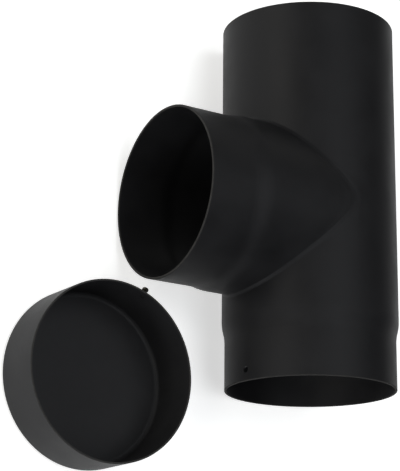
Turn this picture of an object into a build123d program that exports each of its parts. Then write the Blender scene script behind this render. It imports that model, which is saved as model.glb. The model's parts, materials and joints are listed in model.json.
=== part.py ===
from build123d import *
import os

# Stove pipe tee with its cleanout cap taken off and laid beside it, in millimetres.
# The origin is where the axes of the run and the branch cross. The tee lies on its side:
# the open end of the run points to +Y, its spigot to -Y, and the branch to -X.

# Tee
flue_bore_d = 150.0         # bore of the run, takes the spigot of the next pipe
wall_t = 2.0                # steel of the run and the branch
spigot_clearance = 0.5      # radial play of a spigot in a bore of the same flue size
run_above = 177.0           # crossing of the axes to the open end
run_below = 153.0           # crossing of the axes to the end of the run's spigot
run_neck = 16.4             # full-width part of the run between the branch and the swage
run_swage_length = 18.0     # length over which the run narrows to its spigot
branch_reach = 153.0        # crossing of the axes to the mouth of the branch
branch_neck = 16.0          # full-width part of the branch between the run and the swage
branch_swage_length = 18.0
branch_step = 0.4           # how far the branch stands back from the run at the sides
weld_leg = 1.6              # dressed weld in the corner of run and branch, along each pipe
weld_toe_r = 2.0            # where the weld runs out into the pipes
rim_r = 0.4                 # broken edges of the cut pipe ends
hang_hole_d = 5.5           # small hole in the run's spigot
hang_hole_up = 9.5          # its middle above the end of the spigot
hang_hole_turn = 6.0        # degrees from the branch towards the upper side

# Cap
cap_clearance = 0.4         # radial play of the cap on the spigot
cap_wall_t = 1.5
cap_depth = 52.0            # over everything, along the cap's axis
cap_corner_r = 4.0          # inside radius where the wall meets the end plate
cap_rim_r = 0.3
cap_ahead = 30.0            # from the mouth of the branch to the cap's axis, along the branch
cap_aside = 1.0             # between the branch's spigot and the cap, seen from above

# Clamping screw in the wall of the cap
screw_d = 2.9
screw_length = 6.5          # under the head
screw_point_length = 0.5    # bevel of the blunt end that bears on the spigot
screw_point_d = 2.2
screw_head_d = 5.6
screw_head_h = 2.4
screw_head_dome_r = 1.5
screw_backed_out = 5.2      # from the wall of the cap to the underside of the head
screw_clearance = 0.08      # radial play in the wall of the cap
screw_down = 9.0            # its axis below the rim of the cap
screw_turn = 65.0           # degrees about the cap's axis, from +X towards +Y
recess_w = 0.75             # cross recess in the head
recess_span = 3.0
recess_depth = 1.2

# Sizes that follow
run_r = flue_bore_d / 2 + wall_t
spigot_r = flue_bore_d / 2 - spigot_clearance
branch_r = run_r - branch_step
run_swage_start = branch_r + run_neck
run_swage_end = run_swage_start + run_swage_length
branch_swage_start = run_r + branch_neck
branch_swage_end = branch_swage_start + branch_swage_length
floor_z = -run_r
cut_over = 2 * wall_t       # how far a cutting shape runs past the face it opens
cap_bore_r = spigot_r + cap_clearance
cap_r = cap_bore_r + cap_wall_t
cap_x = -branch_reach - cap_ahead
cap_y = -spigot_r - cap_aside - cap_r
screw_r = screw_d / 2
screw_head_r = screw_head_d / 2

# Axes and planes. On the planes of the legs the first axis runs from the crossing towards
# the spigot and the second is the radius.
run_axis = Axis((0, 0, 0), (0, -1, 0))
run_plane = Plane((0, 0, 0), x_dir=(0, -1, 0), z_dir=(0, 0, 1))
branch_axis = Axis((0, 0, 0), (-1, 0, 0))
branch_plane = Plane((0, 0, 0), x_dir=(-1, 0, 0), z_dir=(0, 0, 1))
hang_hole_out = Vector(-1, 0, 0).rotate(Axis.Y, hang_hole_turn)
hang_hole_plane = Plane((0, hang_hole_up - run_below, 0), z_dir=hang_hole_out)
cap_foot = Vector(cap_x, cap_y, floor_z)
cap_axis = Axis(cap_foot, (0, 0, 1))
cap_plane = Plane(cap_foot, x_dir=(1, 0, 0), z_dir=(0, -1, 0))
screw_out = Vector(1, 0, 0).rotate(Axis.Z, screw_turn)
screw_level = cap_foot + Vector(0, 0, cap_depth - screw_down)
screw_hole_plane = Plane(screw_level, z_dir=screw_out)
screw_seat = screw_level + screw_out * (cap_r + screw_backed_out)
screw_axis = Axis(screw_seat, screw_out)
screw_plane = Plane(screw_seat, x_dir=screw_out, z_dir=(0, 0, 1))
screw_top_plane = Plane(screw_seat + screw_out * screw_head_h, x_dir=(0, 0, 1), z_dir=screw_out)


def swaged_leg(plane, back, mouth, swage_start, swage_end, full_r, narrow_r):
    """Half section of a leg: full radius from the back, an S-shaped narrowing, then the spigot."""
    middle = ((swage_start + swage_end) / 2, (full_r + narrow_r) / 2)
    with BuildSketch(plane) as half:
        with BuildLine():
            Polyline((back, 0), (back, full_r), (swage_start, full_r))
            shoulder = TangentArc((swage_start, full_r), middle, tangent=(1, 0))
            TangentArc(middle, (swage_end, narrow_r), tangent=shoulder % 1)
            Polyline((swage_end, narrow_r), (mouth, narrow_r), (mouth, 0), (back, 0))
        make_face()
    return half.sketch


run_outside = swaged_leg(
    run_plane, -run_above, run_below, run_swage_start, run_swage_end, run_r, spigot_r
)
branch_outside = swaged_leg(
    branch_plane, 0, branch_reach, branch_swage_start, branch_swage_end, branch_r, spigot_r
)
run_inside = swaged_leg(
    run_plane,
    -run_above - cut_over,
    run_below + cut_over,
    run_swage_start,
    run_swage_end,
    run_r - wall_t,
    spigot_r - wall_t,
)
branch_inside = swaged_leg(
    branch_plane,
    0,
    branch_reach + cut_over,
    branch_swage_start,
    branch_swage_end,
    branch_r - wall_t,
    spigot_r - wall_t,
)

# Tee: the outsides of the two pipes are joined, their corner is filled by the weld, then both are bored
with BuildPart() as tee_body:
    revolve(run_outside, axis=run_axis)
    revolve(branch_outside, axis=branch_axis)
    # The corner is the only edge that is neither a line nor a circle. A weld of even width fades by
    # itself at the sides, where the pipes are nearly flush.
    chamfer(tee_body.edges().filter_by(GeomType.BSPLINE), length=weld_leg)
    weld_toes = tee_body.edges().filter_by(GeomType.BSPLINE).filter_by(lambda edge: edge.is_closed)
    fillet(weld_toes, radius=weld_toe_r)
    revolve(run_inside, axis=run_axis, mode=Mode.SUBTRACT)
    revolve(branch_inside, axis=branch_axis, mode=Mode.SUBTRACT)
    # The three pipe ends are the only flat faces
    fillet(tee_body.faces().filter_by(GeomType.PLANE).edges(), radius=rim_r)
    with Locations(hang_hole_plane):
        Cylinder(
            hang_hole_d / 2,
            run_r + cut_over,
            align=(Align.CENTER, Align.CENTER, Align.MIN),
            mode=Mode.SUBTRACT,
        )
tee_body.part.label = "tee_body"

# Cap: a drawn cup that slips over the spigot
with BuildPart() as cap:
    with BuildSketch(cap_plane):
        with BuildLine():
            Polyline(
                (0, 0),
                (cap_r, 0),
                (cap_r, cap_depth),
                (cap_bore_r, cap_depth),
                (cap_bore_r, cap_wall_t),
                (0, cap_wall_t),
                (0, 0),
            )
        make_face()
    revolve(axis=cap_axis)
    # Flat faces from below: underside, inside of the end plate, rim
    underside, plate, rim = cap.faces().filter_by(GeomType.PLANE).sort_by(Axis.Z)
    fillet(underside.edges(), radius=cap_corner_r + cap_wall_t)
    fillet(plate.edges(), radius=cap_corner_r)
    fillet(rim.edges(), radius=cap_rim_r)
    with Locations(screw_hole_plane):
        Cylinder(
            screw_r + screw_clearance,
            cap_r + cut_over,
            align=(Align.CENTER, Align.CENTER, Align.MIN),
            mode=Mode.SUBTRACT,
        )
cap.part.label = "cap"

# Screw: shank with a blunt end, round head with a cross recess
with BuildPart() as cap_screw:
    with BuildSketch(screw_plane):
        with BuildLine():
            Polyline(
                (-screw_length, 0),
                (-screw_length, screw_point_d / 2),
                (screw_point_length - screw_length, screw_r),
                (0, screw_r),
                (0, screw_head_r),
                (screw_head_h, screw_head_r),
                (screw_head_h, 0),
                (-screw_length, 0),
            )
        make_face()
    revolve(axis=screw_axis)
    fillet(cap_screw.edges().filter_by(GeomType.CIRCLE).sort_by(screw_axis)[-1], radius=screw_head_dome_r)
    with BuildSketch(screw_top_plane):
        Rectangle(recess_span, recess_w)
        Rectangle(recess_w, recess_span)
    extrude(amount=-recess_depth, mode=Mode.SUBTRACT)
cap_screw.part.label = "cap_screw"

os.makedirs("parts", exist_ok=True)
export_step(tee_body.part, "parts/tee_body.step")
export_step(cap.part, "parts/cap.step")
export_step(cap_screw.part, "parts/cap_screw.step")
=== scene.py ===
# %% [markdown]
# # Stove pipe tee with its cleanout cap
#
# A tee for a stove flue lies on its side on a pale floor: a straight run of steel pipe with a
# branch welded to it. The cup-shaped cap that closes the lower end has been taken off and lies
# in front, with its clamping screw backed out. The solids come from the CAD model, in metres.
# Their shapes are right, so they stay and get finishes here. Only the screw is modelled again, with
# its thread and a tapered recess, which are too fine for the solids.

# %% Load the solids
import json
import math
import bpy
from mathutils import Matrix, Vector


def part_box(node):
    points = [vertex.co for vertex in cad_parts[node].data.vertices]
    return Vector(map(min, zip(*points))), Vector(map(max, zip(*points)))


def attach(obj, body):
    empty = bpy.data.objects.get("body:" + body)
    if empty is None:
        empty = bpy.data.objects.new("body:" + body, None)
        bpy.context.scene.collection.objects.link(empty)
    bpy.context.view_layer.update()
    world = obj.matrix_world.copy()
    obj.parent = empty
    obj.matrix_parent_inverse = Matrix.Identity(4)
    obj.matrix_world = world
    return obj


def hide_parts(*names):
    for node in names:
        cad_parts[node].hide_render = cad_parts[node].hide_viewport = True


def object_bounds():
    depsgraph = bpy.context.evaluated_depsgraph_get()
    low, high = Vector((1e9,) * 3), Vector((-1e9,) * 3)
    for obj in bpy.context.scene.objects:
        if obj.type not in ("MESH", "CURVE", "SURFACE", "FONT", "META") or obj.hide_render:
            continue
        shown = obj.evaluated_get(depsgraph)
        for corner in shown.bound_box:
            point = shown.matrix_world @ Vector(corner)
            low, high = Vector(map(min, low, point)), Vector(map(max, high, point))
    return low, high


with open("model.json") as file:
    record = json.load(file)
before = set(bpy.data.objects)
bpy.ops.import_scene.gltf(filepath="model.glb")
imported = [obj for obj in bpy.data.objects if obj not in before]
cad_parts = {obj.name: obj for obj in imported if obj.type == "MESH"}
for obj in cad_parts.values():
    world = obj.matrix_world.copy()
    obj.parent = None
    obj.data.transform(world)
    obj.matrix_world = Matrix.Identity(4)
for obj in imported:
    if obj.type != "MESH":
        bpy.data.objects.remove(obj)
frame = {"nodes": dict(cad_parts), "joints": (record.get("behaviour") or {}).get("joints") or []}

cad_box = [list(corner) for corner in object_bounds()]
tee = frame["nodes"]["tee_body"]
cap = frame["nodes"]["cap"]
print("CAD box", [[round(v, 4) for v in corner] for corner in cad_box])

# %% [markdown]
# ## Two helpers for finishes
#
# Colours are easiest to read off a picture as hex values, which are sRGB. Shaders work in linear
# light, so one function converts them. A second one adds a node, sets its options and sockets
# and links its inputs, so that each finish below reads from top to bottom.


# %% Helpers for finishes
def linear(hex_colour):
    """The RGBA value in linear light of a colour written as sRGB hex."""
    channels = [int(hex_colour[i:i + 2], 16) / 255 for i in (1, 3, 5)]
    return [c / 12.92 if c <= 0.04045 else ((c + 0.055) / 1.055) ** 2.4 for c in channels] + [1.0]


def add_node(tree, kind, sockets=None, links=None, **options):
    """Adds one node to a tree, with its options, its socket values and the outputs it reads."""
    made = tree.nodes.new(kind)
    for name, value in options.items():
        setattr(made, name, value)
    for name, value in (sockets or {}).items():
        made.inputs[name].default_value = value
    for name, output in (links or {}).items():
        tree.links.new(output, made.inputs[name])
    return made


def new_finish(name):
    """An empty material and its node tree, with only the output node."""
    material = bpy.data.materials.new(name)
    material.use_nodes = True
    tree = material.node_tree
    tree.nodes.clear()
    tree.nodes.new("ShaderNodeOutputMaterial")
    return material, tree


def close_finish(tree, shader):
    """Links the finished shader to the material's output."""
    output = next(n for n in tree.nodes if n.type == "OUTPUT_MATERIAL")
    tree.links.new(shader.outputs[0], output.inputs["Surface"])


print("black of the paint in linear light", [round(v, 4) for v in linear("#131314")[:3]])

# %% [markdown]
# ## Stove paint
#
# Flue pipe is sprayed with a heat-proof silicone paint, dead black and nearly matt. Up close the
# spray leaves a fine pebbled grain, and the gloss drifts slowly where the coat is thicker or has
# been handled. At the cut ends of the pipe the film is thin and rubbed, so the rims read as a
# fine grey line. The grain is a noise of about 0.9 mm, a little coarser than the real 0.3 mm so
# that it shows; the drift is a noise of about 30 mm, and the chips at the rims are of about 4 mm. All
# read Object coordinates, which are the same as the model's frame, so nothing slides. Low gloss with
# a middling roughness gives the eye a soft sheen along the pipe and no mirror image.

# %% Sizes in the paint
grain_size, drift_size, chip_size = 0.0009, 0.030, 0.004
rim_full, rim_gone = 0.0002, 0.0010
rubbed_colour, rubbed_roughness = "#3c3b39", 0.9
paint_gloss = 0.135
paint_sizes = (grain_size, drift_size, chip_size)
print("grain, drift and chips", [round(size * 1000, 1) for size in paint_sizes], "mm")


# %% Stove paint
def stove_paint(name, thick_coat, thin_coat, rim_distance, weld_ripple=None):
    """Sprayed black stove paint. rim_distance gives the metres from a cut rim, weld_ripple a height."""
    material, tree = new_finish(name)
    place = add_node(tree, "ShaderNodeTexCoord")
    grain = add_node(
        tree, "ShaderNodeTexNoise",
        {"Scale": 1 / grain_size, "Detail": 3.0, "Roughness": 0.6}, {"Vector": place.outputs["Object"]},
    )
    drift = add_node(
        tree, "ShaderNodeTexNoise",
        {"Scale": 1 / drift_size, "Detail": 4.0, "Roughness": 0.55}, {"Vector": place.outputs["Object"]},
    )
    coat = add_node(tree, "ShaderNodeValToRGB", links={"Fac": drift.outputs["Fac"]})
    coat.color_ramp.elements[0].position = 0.30
    coat.color_ramp.elements[0].color = linear(thick_coat)
    coat.color_ramp.elements[1].position = 0.75
    coat.color_ramp.elements[1].color = linear(thin_coat)
    gloss = add_node(
        tree, "ShaderNodeMapRange",
        {"From Min": 0.3, "From Max": 0.7, "To Min": 0.48, "To Max": 0.58}, {"Value": drift.outputs["Fac"]},
    )
    chips = add_node(
        tree, "ShaderNodeTexNoise",
        {"Scale": 1 / chip_size, "Detail": 5.0, "Roughness": 0.65}, {"Vector": place.outputs["Object"]},
    )
    near_rim = add_node(
        tree, "ShaderNodeMapRange",
        {"From Min": rim_full, "From Max": rim_gone, "To Min": 1.0, "To Max": 0.0},
        {"Value": rim_distance(tree, place)},
    )
    rubbed = add_node(
        tree, "ShaderNodeMath", links={0: near_rim.outputs["Result"], 1: chips.outputs["Fac"]},
        operation="MULTIPLY",
    )
    colour = add_node(
        tree, "ShaderNodeMix", {"B": linear(rubbed_colour)},
        {"Factor": rubbed.outputs["Value"], "A": coat.outputs["Color"]}, data_type="RGBA",
    )
    relief = add_node(
        tree, "ShaderNodeBump", {"Strength": 0.75, "Distance": 0.00012}, {"Height": grain.outputs["Fac"]},
    )
    if weld_ripple:
        relief = add_node(
            tree, "ShaderNodeBump", {"Strength": 0.5, "Distance": 0.0006},
            {"Height": weld_ripple(tree, place), "Normal": relief.outputs["Normal"]},
        )
    bare_edge = add_node(
        tree, "ShaderNodeMix", {"B": rubbed_roughness},
        {"Factor": near_rim.outputs["Result"], "A": gloss.outputs["Result"]},
    )
    paint = add_node(
        tree, "ShaderNodeBsdfPrincipled", {"Specular IOR Level": paint_gloss},
        {
            "Base Color": colour.outputs["Result"],
            "Roughness": bare_edge.outputs["Result"],
            "Normal": relief.outputs["Normal"],
        },
    )
    close_finish(tree, paint)
    return material


# %% [markdown]
# ## Where the rims and the weld are
#
# The finish has to know how far a point lies from a cut rim, and whether it lies on the weld. Both
# follow from the place in the frame. The rims are flat ends across an axis, so the distance is one
# subtraction. The weld lies where a point is near the outside of the run and of the branch at once,
# so its mask needs the distance from each of the two axes. The weld is about 1.6 mm wide along each
# pipe and has soft toes, so the mask is full within 0.8 mm and gone at 2.5 mm. The same distances
# are met once more on the plain back of the run, so a second mask stops at the middle of the run.
# A dressed weld is never quite even: a noise of about 9 mm under the masks leaves the shallow ripple
# of the grinding disc.

# %% Rims of the tee and the cap
run_open_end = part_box("tee_body")[1][1]
run_spigot_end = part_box("tee_body")[0][1]
branch_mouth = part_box("tee_body")[0][0]
cap_low, cap_high = (Vector(corner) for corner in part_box("cap"))
run_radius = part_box("tee_body")[1][2]
branch_step = 0.0004
branch_radius = run_radius - branch_step
rims = (run_open_end, run_spigot_end, branch_mouth, cap_high.z)
print("rims at", [round(rim * 1000, 1) for rim in rims], "mm")


# %% Distance from the rims of the tee
def tee_rim_distance(tree, place):
    """Metres from the nearest of the three cut ends of the tee."""
    axes = add_node(tree, "ShaderNodeSeparateXYZ", links={"Vector": place.outputs["Object"]})
    upper = add_node(
        tree, "ShaderNodeMath", {0: run_open_end}, {1: axes.outputs["Y"]}, operation="SUBTRACT",
    )
    lower = add_node(
        tree, "ShaderNodeMath", {1: run_spigot_end}, {0: axes.outputs["Y"]}, operation="SUBTRACT",
    )
    side = add_node(
        tree, "ShaderNodeMath", {1: branch_mouth}, {0: axes.outputs["X"]}, operation="SUBTRACT",
    )
    ends = add_node(
        tree, "ShaderNodeMath", links={0: upper.outputs["Value"], 1: lower.outputs["Value"]},
        operation="MINIMUM",
    )
    nearest = add_node(
        tree, "ShaderNodeMath", links={0: ends.outputs["Value"], 1: side.outputs["Value"]},
        operation="MINIMUM",
    )
    return nearest.outputs["Value"]


# %% Distance from the rim of the cap
def cap_rim_distance(tree, place):
    """Metres below the rim of the cap."""
    axes = add_node(tree, "ShaderNodeSeparateXYZ", links={"Vector": place.outputs["Object"]})
    below = add_node(
        tree, "ShaderNodeMath", {0: cap_high.z}, {1: axes.outputs["Z"]}, operation="SUBTRACT",
    )
    return below.outputs["Value"]


# %% Ripple of the weld
weld_full, weld_gone = 0.0008, 0.0025
middle_fade = 0.004
ripple_size = 0.009
print("weld mask full at", weld_full * 1000, "mm, gone at", weld_gone * 1000, "mm")


def tee_weld_ripple(tree, place):
    """A height that is uneven along the weld and level everywhere else."""
    off_axis = []
    for across, radius in (((1.0, 0.0, 1.0), run_radius), ((0.0, 1.0, 1.0), branch_radius)):
        flat = add_node(
            tree, "ShaderNodeVectorMath", {1: across}, {0: place.outputs["Object"]}, operation="MULTIPLY",
        )
        reach = add_node(
            tree, "ShaderNodeVectorMath", links={0: flat.outputs["Vector"]}, operation="LENGTH",
        )
        gap = add_node(
            tree, "ShaderNodeMath", {1: radius}, {0: reach.outputs["Value"]}, operation="SUBTRACT",
        )
        off_axis.append(
            add_node(tree, "ShaderNodeMath", links={0: gap.outputs["Value"]}, operation="ABSOLUTE")
        )
    farther = add_node(
        tree, "ShaderNodeMath", links={0: off_axis[0].outputs["Value"], 1: off_axis[1].outputs["Value"]},
        operation="MAXIMUM",
    )
    on_weld = add_node(
        tree, "ShaderNodeMapRange",
        {"From Min": weld_full, "From Max": weld_gone, "To Min": 1.0, "To Max": 0.0},
        {"Value": farther.outputs["Value"]}, interpolation_type="SMOOTHSTEP",
    )
    ripple = add_node(
        tree, "ShaderNodeTexNoise", {"Scale": 1 / ripple_size, "Detail": 2.0, "Roughness": 0.5},
        {"Vector": place.outputs["Object"]},
    )
    axes = add_node(tree, "ShaderNodeSeparateXYZ", links={"Vector": place.outputs["Object"]})
    branch_side = add_node(
        tree, "ShaderNodeMapRange",
        {"From Min": -middle_fade, "From Max": 0.0, "To Min": 1.0, "To Max": 0.0},
        {"Value": axes.outputs["X"]},
    )
    mask = add_node(
        tree, "ShaderNodeMath", links={0: on_weld.outputs["Result"], 1: branch_side.outputs["Result"]},
        operation="MULTIPLY",
    )
    height = add_node(
        tree, "ShaderNodeMath", links={0: mask.outputs["Value"], 1: ripple.outputs["Fac"]},
        operation="MULTIPLY",
    )
    return height.outputs["Value"]


# %% Paint the tee and the cap
for node, paint in (
    (tee, stove_paint("stove_paint_tee", "#131314", "#1a1a1b", tee_rim_distance, tee_weld_ripple)),
    # The cap wears a lighter copy of the tee's paint: the lift is painted light that brightens its upturned
    # disc.
    (cap, stove_paint("stove_paint_cap_painted_light", "#1c1c1d", "#232324", cap_rim_distance)),
):
    for place in node.material_slots:
        place.material = paint
    print(node.name, "wears", paint.name, "on", len(node.material_slots), "slot")

# %% [markdown]
# ## Clamping screw: the head
#
# The cap is held on the spigot by one small tapping screw, 2.9 mm across with a pan head. A pan
# head is a low drum with a well rounded top, so a short cylinder is added and the edge of its top
# face is bevelled. The cross recess is cut by a Boolean with a cutter: two bars that narrow
# towards the bottom, as the tip of a driver does. The screw is modelled upright at the origin and
# put in its place at the end.


# %% Helpers for modelling
def only(thing):
    """Makes one object the selected and active one."""
    bpy.ops.object.select_all(action="DESELECT")
    thing.select_set(True)
    bpy.context.view_layer.objects.active = thing


def pick(thing, chosen):
    """In edit mode, selects the faces whose middle passes the test, and nothing else."""
    bpy.ops.mesh.select_all(action="DESELECT")
    bpy.ops.object.mode_set(mode="OBJECT")
    for face in thing.data.polygons:
        face.select = chosen(face)
    bpy.ops.object.mode_set(mode="EDIT")


# %% Screw head
head_radius, head_height, head_round = 0.0028, 0.0024, 0.0015
bpy.ops.object.select_all(action="DESELECT")
bpy.ops.mesh.primitive_cylinder_add(
    vertices=64, radius=head_radius, depth=head_height, location=(0, 0, head_height / 2),
)
screw = bpy.context.active_object
screw.name = "clamp_screw"
bpy.ops.object.transform_apply(location=True, rotation=True, scale=True)
bpy.ops.object.mode_set(mode="EDIT")
bpy.ops.mesh.select_mode(type="FACE")
pick(screw, lambda face: face.normal.z > 0.9)
bpy.ops.mesh.bevel(offset=head_round, segments=8, profile=0.5, affect="EDGES")
bpy.ops.object.mode_set(mode="OBJECT")
print("screw head", round(head_radius * 2000, 1), "mm wide:", len(screw.data.polygons), "faces")

# %% Cross recess
recess_span, recess_width, recess_depth = 0.0032, 0.0008, 0.0013
tip_span, tip_width = 0.35, 0.7
bars = []
for turn in (0, math.pi / 2):
    bpy.ops.object.select_all(action="DESELECT")
    bpy.ops.mesh.primitive_cube_add(size=1, location=(0, 0, head_height + recess_depth * 0.5))
    bar = bpy.context.active_object
    bar.scale = (recess_span, recess_width, recess_depth * 3)
    bpy.ops.object.transform_apply(location=True, rotation=True, scale=True)
    bpy.ops.object.mode_set(mode="EDIT")
    pick(bar, lambda face: face.normal.z < -0.9)
    bpy.ops.transform.resize(value=(tip_span, tip_width, 1), center_override=(0, 0, head_height))
    bpy.ops.object.mode_set(mode="OBJECT")
    bar.rotation_euler.z = turn
    bpy.ops.object.transform_apply(location=True, rotation=True, scale=True)
    bars.append(bar)
for bar in bars:
    only(screw)
    cut = screw.modifiers.new("recess", "BOOLEAN")
    cut.operation = "DIFFERENCE"
    cut.solver = "EXACT"
    cut.object = bar
    bpy.ops.object.modifier_apply(modifier=cut.name)
    bpy.data.objects.remove(bar)
print("screw head with recess:", len(screw.data.polygons), "faces")

# %% [markdown]
# ## Clamping screw: the thread
#
# A tapping screw has a coarse, sharp thread on a thin core. One tooth of the profile is drawn by
# moving and extruding a single vertex, and the Screw operator winds it round the axis: the ends of
# the profile give it the pitch, its turns are laid one below the other, and the sign of the axis
# makes the thread right-handed. Each end of the wound tooth is closed by a face over its profile. The
# thread must run out at the blunt end, so the crest of the last turn is drawn in to the core. The
# core itself is a closed cylinder with a bevelled end.

# %% Thread
pitch, core_radius, crest_radius = 0.0011, 0.00109, 0.00143
shank_length = 0.0065
turns = 5
thread_end = 0.0004 - shank_length
flank, crest, root = 0.38, 0.10, 0.14
bpy.ops.object.select_all(action="DESELECT")
bpy.ops.mesh.primitive_plane_add(size=pitch, location=(0, 0, 0))
thread = bpy.context.active_object
bpy.ops.object.mode_set(mode="EDIT")
bpy.ops.mesh.select_all(action="SELECT")
bpy.ops.mesh.merge(type="CENTER")
bpy.ops.mesh.select_mode(type="VERT")
bpy.ops.mesh.select_all(action="SELECT")
bpy.ops.transform.translate(value=(core_radius, 0, thread_end + turns * pitch))
rise = crest_radius - core_radius
for out, along in ((rise, flank), (0, crest), (-rise, flank), (0, root)):
    bpy.ops.mesh.extrude_region_move(TRANSFORM_OT_translate={"value": (out, 0, along * pitch)})
bpy.ops.mesh.select_all(action="SELECT")
bpy.ops.mesh.screw(steps=32, turns=turns, center=(0, 0, 0), axis=(0, 0, -1))
bpy.ops.mesh.select_all(action="SELECT")
bpy.ops.mesh.remove_doubles(threshold=pitch / 500)
print("thread wound in", turns, "turns of", round(pitch * 1000, 2), "mm")

# %% Ends of the thread
near = pitch / 100
for first in (thread_end, thread_end + turns * pitch):
    bpy.ops.mesh.select_all(action="DESELECT")
    bpy.ops.object.mode_set(mode="OBJECT")
    for corner in thread.data.vertices:
        x, y, z = corner.co
        corner.select = x > 0 and abs(y) < near and first - near < z < first + pitch + near
    bpy.ops.object.mode_set(mode="EDIT")
    bpy.ops.mesh.edge_face_add()
bpy.ops.mesh.select_all(action="SELECT")
bpy.ops.mesh.normals_make_consistent(inside=False)
bpy.ops.object.mode_set(mode="OBJECT")
print("thread closed at both ends:", len(thread.data.polygons), "faces")

# %% Run-out of the thread
run_out = 1.2 * pitch
for corner in thread.data.vertices:
    reach = Vector((corner.co.x, corner.co.y)).length
    keep = min(1.0, max(0.0, (corner.co.z - thread_end) / run_out))
    drawn_in = (core_radius + (reach - core_radius) * keep) / reach
    corner.co.x *= drawn_in
    corner.co.y *= drawn_in
heights = [round(corner.co.z * 1000, 2) for corner in thread.data.vertices]
print("thread from", min(heights), "to", max(heights), "mm")

# %% Core of the shank
core_cover, core_in_head, point_bevel = 0.00001, head_height / 4, 0.0003
bpy.ops.object.select_all(action="DESELECT")
bpy.ops.mesh.primitive_cylinder_add(
    vertices=48, radius=core_radius + core_cover, depth=shank_length + core_in_head,
    location=(0, 0, (core_in_head - shank_length) / 2),
)
core = bpy.context.active_object
bpy.ops.object.transform_apply(location=True, rotation=True, scale=True)
bpy.ops.object.mode_set(mode="EDIT")
bpy.ops.mesh.select_mode(type="FACE")
pick(core, lambda face: face.normal.z < -0.9)
bpy.ops.mesh.bevel(offset=point_bevel, segments=2, profile=0.5, affect="EDGES")
bpy.ops.object.mode_set(mode="OBJECT")
print("core", round(core_radius * 2000, 2), "mm thick:", len(core.data.polygons), "faces")

# %% Join the screw
sharp_from = math.radians(32)
only(screw)
thread.select_set(True)
core.select_set(True)
bpy.ops.object.join()
bpy.ops.object.shade_smooth_by_angle(angle=sharp_from)
print("screw joined:", len(screw.data.polygons), "faces")

# %% [markdown]
# ## Clamping screw: its place
#
# The screw goes through the wall of the cap 9 mm below the rim. It is backed out, so that the
# underside of its head stands 5.2 mm off the wall. Its axis is that of the slide in the CAD frame,
# which points inwards. The head is turned by 22 degrees, because nobody stops a screw at a square
# angle.

# %% Put the screw in its place
screw_below_rim, screw_backed_out = 0.009, 0.0052
head_turn = math.radians(22)
drive = Vector(frame["joints"][0]["axis"])
cap_middle = (cap_low + cap_high) / 2
cap_radius = (cap_high.x - cap_low.x) / 2
hole = Vector((cap_middle.x, cap_middle.y, cap_high.z - screw_below_rim)) - drive * cap_radius
seat = hole - drive * screw_backed_out
screw.matrix_world = (
    Matrix.Translation(seat)
    @ Vector((0, 0, 1)).rotation_difference(-drive).to_matrix().to_4x4()
    @ Matrix.Rotation(head_turn, 4, "Z")
)
only(screw)
bpy.ops.object.transform_apply(location=True, rotation=True, scale=True)
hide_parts("cap_screw")
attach(screw, "screw")
print("screw seat", [round(v * 1000, 2) for v in seat], "mm")

# %% [markdown]
# ## Zinc on the screw
#
# The screw is plated steel gone dull: a grey metal with a faint olive cast from its passivation.
# It is a full metal with a broad, soft gloss. Fine noise of about 0.4 mm breaks the gloss, and the
# colour is a little darker in patches of about 1.2 mm, as old plating is.

# %% Dull zinc
patch_size, speckle_size = 0.0012, 0.0004
zinc, tree = new_finish("dull_zinc")
place = add_node(tree, "ShaderNodeTexCoord")
patches = add_node(
    tree, "ShaderNodeTexNoise", {"Scale": 1 / patch_size, "Detail": 3.0},
    {"Vector": place.outputs["Object"]},
)
film = add_node(tree, "ShaderNodeValToRGB", links={"Fac": patches.outputs["Fac"]})
film.color_ramp.elements[0].position = 0.35
film.color_ramp.elements[0].color = linear("#35332d")
film.color_ramp.elements[1].position = 0.70
film.color_ramp.elements[1].color = linear("#57544a")
speckle = add_node(
    tree, "ShaderNodeTexNoise", {"Scale": 1 / speckle_size, "Detail": 2.0},
    {"Vector": place.outputs["Object"]},
)
soft_gloss = add_node(
    tree, "ShaderNodeMapRange", {"From Min": 0.3, "From Max": 0.7, "To Min": 0.38, "To Max": 0.52},
    {"Value": speckle.outputs["Fac"]},
)
plating = add_node(
    tree, "ShaderNodeBsdfPrincipled", {"Metallic": 1.0},
    {"Base Color": film.outputs["Color"], "Roughness": soft_gloss.outputs["Result"]},
)
close_finish(tree, plating)
screw.data.materials.clear()
screw.data.materials.append(zinc)
print(screw.name, "wears", zinc.name)

# %% [markdown]
# ## Floor and light
#
# The part is shown on a pale floor that runs out to white. The floor is a plain diffuse sheet, so
# it keeps the shadow; for the rays that the camera, gloss and glass send, a white glow is added to
# it, which lifts the background to white without any more light falling on the part. Black
# paint shows mostly what it mirrors, so the white floor brightens the sides that lean towards it.
# The room gives a little light of its own, and six soft boxes do the rest. A wide one overhead
# gives the plain level. One at the left draws the light band along the run, and a smaller one above
# the front shapes the branch. Another reaches into the mouth of the branch, a low one in front goes
# under it, and a weak one behind keeps the right edge from going black.

# %% Floor
floor_level = cad_box[0][2]
floor_size = 24
bpy.ops.object.select_all(action="DESELECT")
bpy.ops.mesh.primitive_plane_add(size=floor_size, location=(0, 0, floor_level))
floor = bpy.context.active_object
floor.name = "floor"
print("floor", floor_size, "m wide at", round(floor_level * 1000, 1), "mm")

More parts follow.
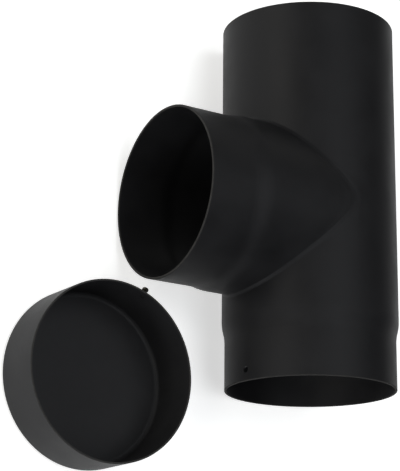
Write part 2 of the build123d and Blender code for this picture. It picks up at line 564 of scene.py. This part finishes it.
# %% Paper of the floor
glow_strength = 0.55
paper, tree = new_finish("floor_paper")
rays = add_node(tree, "ShaderNodeLightPath")
seen = add_node(
    tree, "ShaderNodeMath", links={0: rays.outputs["Is Camera Ray"], 1: rays.outputs["Is Glossy Ray"]},
    operation="MAXIMUM",
)
seen_or_through = add_node(
    tree, "ShaderNodeMath", links={0: seen.outputs["Value"], 1: rays.outputs["Is Transmission Ray"]},
    operation="MAXIMUM",
)
lift = add_node(
    tree, "ShaderNodeMath", {1: glow_strength}, {0: seen_or_through.outputs["Value"]},
    operation="MULTIPLY",
)
sheet = add_node(tree, "ShaderNodeBsdfDiffuse", {"Color": linear("#f4f4f2")})
glow = add_node(
    tree, "ShaderNodeEmission", {"Color": linear("#ffffff")}, {"Strength": lift.outputs["Value"]},
)
both = add_node(
    tree, "ShaderNodeAddShader", links={0: sheet.outputs["BSDF"], 1: glow.outputs["Emission"]},
)
close_finish(tree, both)
floor.data.materials.append(paper)
print("floor wears", paper.name)

# %% Room
room_strength = 0.10
room = bpy.data.worlds.new("studio_room")
bpy.context.scene.world = room
room.use_nodes = True
tree = room.node_tree
tree.nodes.clear()
walls = add_node(tree, "ShaderNodeBackground", {"Color": linear("#f4f6fa"), "Strength": room_strength})
add_node(tree, "ShaderNodeOutputWorld", links={"Surface": walls.outputs["Background"]})
print("room at a strength of", room_strength)


# %% Lamps
def soft_lamp(name, stand, aim, size, watts, tint):
    """A soft box, width by height, that stands at one place and faces another, in metres."""
    lamp = bpy.data.lights.new(name, "AREA")
    lamp.shape = "RECTANGLE"
    lamp.size, lamp.size_y = size
    lamp.energy = watts
    lamp.color = linear(tint)[:3]
    holder = bpy.data.objects.new(name, lamp)
    bpy.context.scene.collection.objects.link(holder)
    holder.location = stand
    holder.rotation_euler = (Vector(aim) - Vector(stand)).to_track_quat("-Z", "Y").to_euler()
    print(name, watts, "W at", stand)


soft_lamp("side_box", (-1.9, 0.9, 0.6), (-0.1, 0.05, 0.0), (1.2, 1.0), 17, "#fdfbf6")
soft_lamp("top_box", (0.1, 0.2, 2.2), (-0.1, 0.0, 0.0), (1.8, 1.8), 25, "#f4f7fb")
soft_lamp("fore_box", (-0.3, -1.0, 1.9), (-0.1, 0.0, 0.0), (0.9, 0.9), 8, "#f4f7fb")
soft_lamp("mouth_box", (-1.7, -0.6, 0.95), (-0.1, -0.1, 0.0), (0.8, 0.8), 8, "#fdfbf6")
soft_lamp("low_box", (-1.0, -2.0, 0.3), (-0.1, -0.1, 0.0), (2.0, 0.6), 15, "#f6f8fd")
soft_lamp("back_box", (1.2, 1.76, 0.55), (-0.05, 0.05, 0.0), (1.2, 0.8), 2.6, "#fdfbf6")

# %% [markdown]
# ## Camera
#
# The photograph looks at the tee from the side of its branch, with the run upright in the picture.
# The tee lies here, so the camera looks down on it by 53 degrees and is rolled until the run stands
# upright. A long lens from about a metre and a half keeps the lines nearly parallel. The picture is
# 400 by 471, and the lens is worked out from the focal length in its pixels. A shift of a few pixels
# keeps the cap inside the frame.

# %% Camera
picture_height = 471
focal_pixels = 1727.8
towards_camera = Vector((-0.535148, -0.274607, 0.798879))
aim = Vector((-0.112750, -0.028524, 0.0))
distance = 1.46186
roll = math.radians(0.5)
shift_pixels = (-3.2, -3.6)
upright = Vector((0, 1, 0))
right = upright.cross(towards_camera).normalized()
up = towards_camera.cross(right)
right, up = right * math.cos(roll) + up * math.sin(roll), up * math.cos(roll) - right * math.sin(roll)
lens = bpy.data.cameras.new("photo_camera")
lens.sensor_fit = "VERTICAL"
lens.sensor_height = 36.0
lens.lens = focal_pixels / picture_height * lens.sensor_height
lens.shift_x = shift_pixels[0] / picture_height
lens.shift_y = shift_pixels[1] / picture_height
camera = bpy.data.objects.new("photo_camera", lens)
bpy.context.scene.collection.objects.link(camera)
camera.matrix_world = Matrix.Translation(aim + distance * towards_camera) @ Matrix(
    (right, up, towards_camera)
).transposed().to_4x4()
bpy.context.scene.camera = camera
bpy.context.scene.view_settings.view_transform = "Standard"
print("lens", round(lens.lens, 2), "mm at", [round(v, 4) for v in camera.location])
